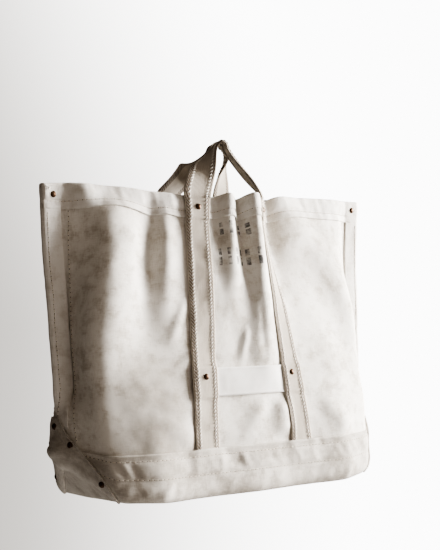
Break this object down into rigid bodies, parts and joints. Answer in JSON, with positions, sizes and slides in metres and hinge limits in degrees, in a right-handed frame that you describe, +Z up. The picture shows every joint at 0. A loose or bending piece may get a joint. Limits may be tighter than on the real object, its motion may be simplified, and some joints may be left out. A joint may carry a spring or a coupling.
{
  "type": "mail sack",
  "caption": "Flat-sided canvas carrying sack with a reinforced base, riveted webbing straps and short handles that swing at the mouth.",
  "frame": {"origin": "the hook point: the underside of the handles, midway between them, where a hook lifts the sack", "axes": "+Z up, +X along the sack's width, the face with the cross strip looks along -Y"},
  "size_m": [0.5492, 0.1682, 0.4674],
  "materials": {
    "canvas": "plain-weave undyed cotton canvas, washed and creased",
    "hem_canvas": "folded canvas, stitched",
    "base_canvas": "heavier canvas, rubbed grey on the edges",
    "webbing": "coarse cotton webbing with roped edges",
    "smooth_tape": "smooth closely woven tape",
    "rivet_metal": "antiqued nearly black"
  },
  "bodies": {
    "bag": {"floor_panel": "canvas", "front_panel": "canvas", "back_panel": "canvas", "boot": "base_canvas", "cross_strip": "smooth_tape", "hem_front": "hem_canvas", "hem_back": "hem_canvas", "side_binding_left": "hem_canvas", "side_binding_right": "hem_canvas", "end_ear_left": "base_canvas", "end_ear_right": "base_canvas", "strap_front_left": "webbing", "strap_front_right": "webbing", "strap_back_left": "webbing", "strap_back_right": "webbing", "rivet_strap_top_front_left": "rivet_metal", "rivet_strap_low_front_left": "rivet_metal", "rivet_strap_top_front_right": "rivet_metal", "rivet_strap_low_front_right": "rivet_metal", "rivet_strap_top_back_left": "rivet_metal", "rivet_strap_low_back_left": "rivet_metal", "rivet_strap_top_back_right": "rivet_metal", "rivet_strap_low_back_right": "rivet_metal", "rivet_mouth_left": "rivet_metal", "rivet_mouth_right": "rivet_metal", "rivet_ear_top_left": "rivet_metal", "rivet_ear_top_right": "rivet_metal", "rivet_ear_middle_front_left": "rivet_metal", "rivet_ear_middle_back_left": "rivet_metal", "rivet_ear_bottom_front_left": "rivet_metal", "rivet_ear_bottom_back_left": "rivet_metal", "rivet_ear_middle_front_right": "rivet_metal", "rivet_ear_middle_back_right": "rivet_metal", "rivet_ear_bottom_front_right": "rivet_metal", "rivet_ear_bottom_back_right": "rivet_metal"},
    "handle_front": {"handle_front": "webbing"},
    "handle_back": {"handle_back": "webbing"}
  },
  "joints": [
    {"name": "front_handle_swing", "type": "hinge", "parent": "bag", "child": "handle_front", "pos_m": [0, -0.0402, -0.0767], "axis": [1, 0, 0], "range_deg": [0, 170]},
    {"name": "back_handle_swing", "type": "hinge", "parent": "bag", "child": "handle_back", "pos_m": [0, 0.0402, -0.0767], "axis": [-1, 0, 0], "range_deg": [0, 170]}
  ]
}
